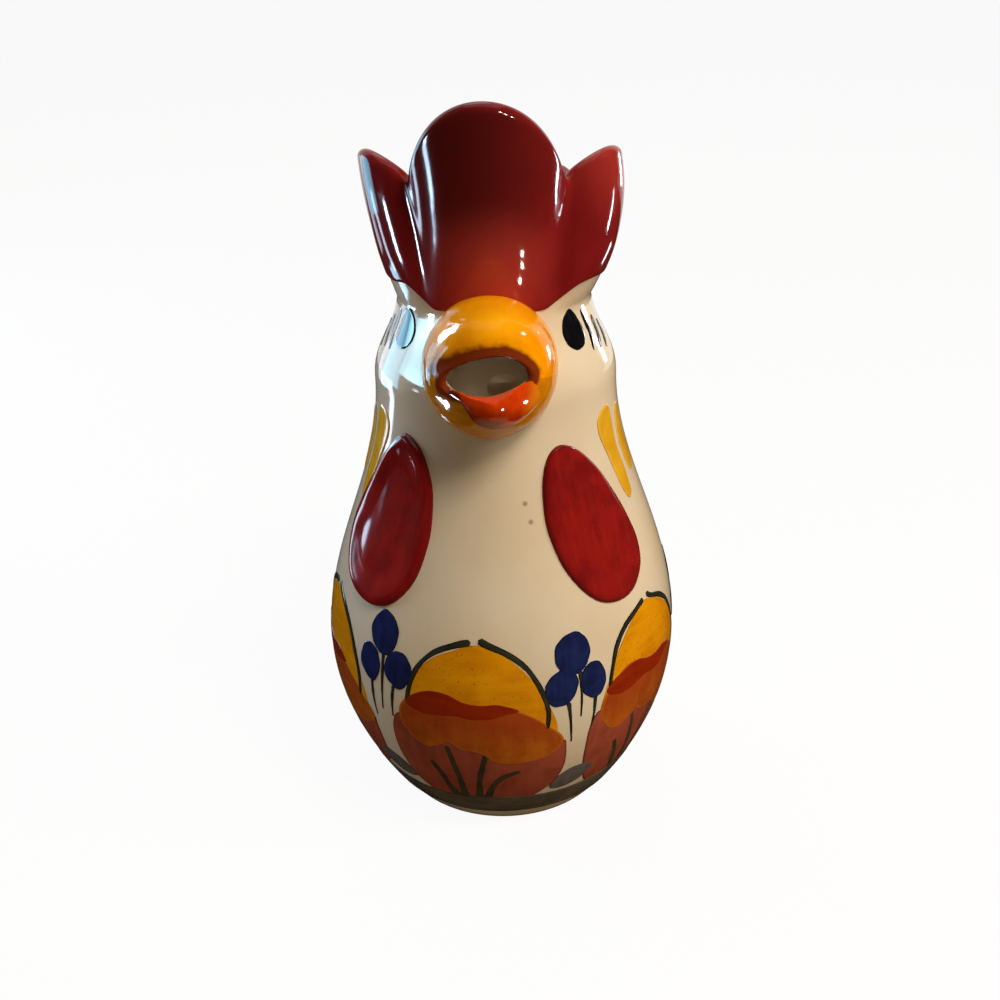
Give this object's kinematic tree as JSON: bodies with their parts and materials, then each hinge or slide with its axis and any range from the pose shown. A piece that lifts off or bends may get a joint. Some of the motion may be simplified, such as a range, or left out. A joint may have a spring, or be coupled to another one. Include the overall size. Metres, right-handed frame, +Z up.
{
  "type": "hen-shaped pitcher",
  "caption": "Glazed earthenware hen pitcher with a pleated comb as its filling mouth, a pouring beak, a ring handle and a painted border.",
  "frame": {"origin": "middle of the foot's underside, on the table", "axes": "+Z up; the beak pours towards -Y, the handle is on +Y, +X is to the right of someone who faces the beak"},
  "size_m": [0.1236, 0.1423, 0.249],
  "materials": {
    "white_glaze": "gloss tin-white glaze",
    "foot_biscuit": "unglazed fired clay",
    "comb_red": "gloss deep red glaze",
    "beak_yellow": "gloss yellow glaze",
    "beak_ochre": "gloss ochre glaze",
    "lip_orange": "gloss orange-red glaze",
    "wattle_red": "gloss deep red glaze",
    "feather_yellow": "gloss yellow enamel",
    "eye_black": "gloss black enamel",
    "blossom_yellow": "gloss yellow enamel",
    "wash_orange": "gloss orange enamel",
    "cup_brown": "gloss red-brown enamel",
    "line_green": "gloss green-black enamel",
    "berry_blue": "gloss cobalt blue enamel",
    "leaf_grey_green": "gloss grey-green enamel",
    "band_green": "gloss green-black enamel"
  },
  "bodies": {
    "root": {"body_shell": "white_glaze", "handle": "white_glaze", "foot_ring": "foot_biscuit", "comb_front": "comb_red", "comb_side_left": "comb_red", "comb_side_right": "comb_red", "comb_rear_left": "comb_red", "comb_rear_right": "comb_red", "beak_upper": "beak_yellow", "beak_lower": "beak_ochre", "beak_lip": "lip_orange", "wattle_left": "wattle_red", "wattle_right": "wattle_red", "feather_left": "feather_yellow", "feather_right": "feather_yellow", "eye_left": "eye_black", "eye_right": "eye_black", "lashes_left": "eye_black", "lashes_right": "eye_black", "blossom_domes": "blossom_yellow", "blossom_washes": "wash_orange", "blossom_cups": "cup_brown", "blossom_outlines": "line_green", "grass_strokes": "line_green", "berry_stems": "line_green", "berries": "berry_blue", "leaves": "leaf_grey_green", "base_band": "band_green"}
  },
  "joints": []
}
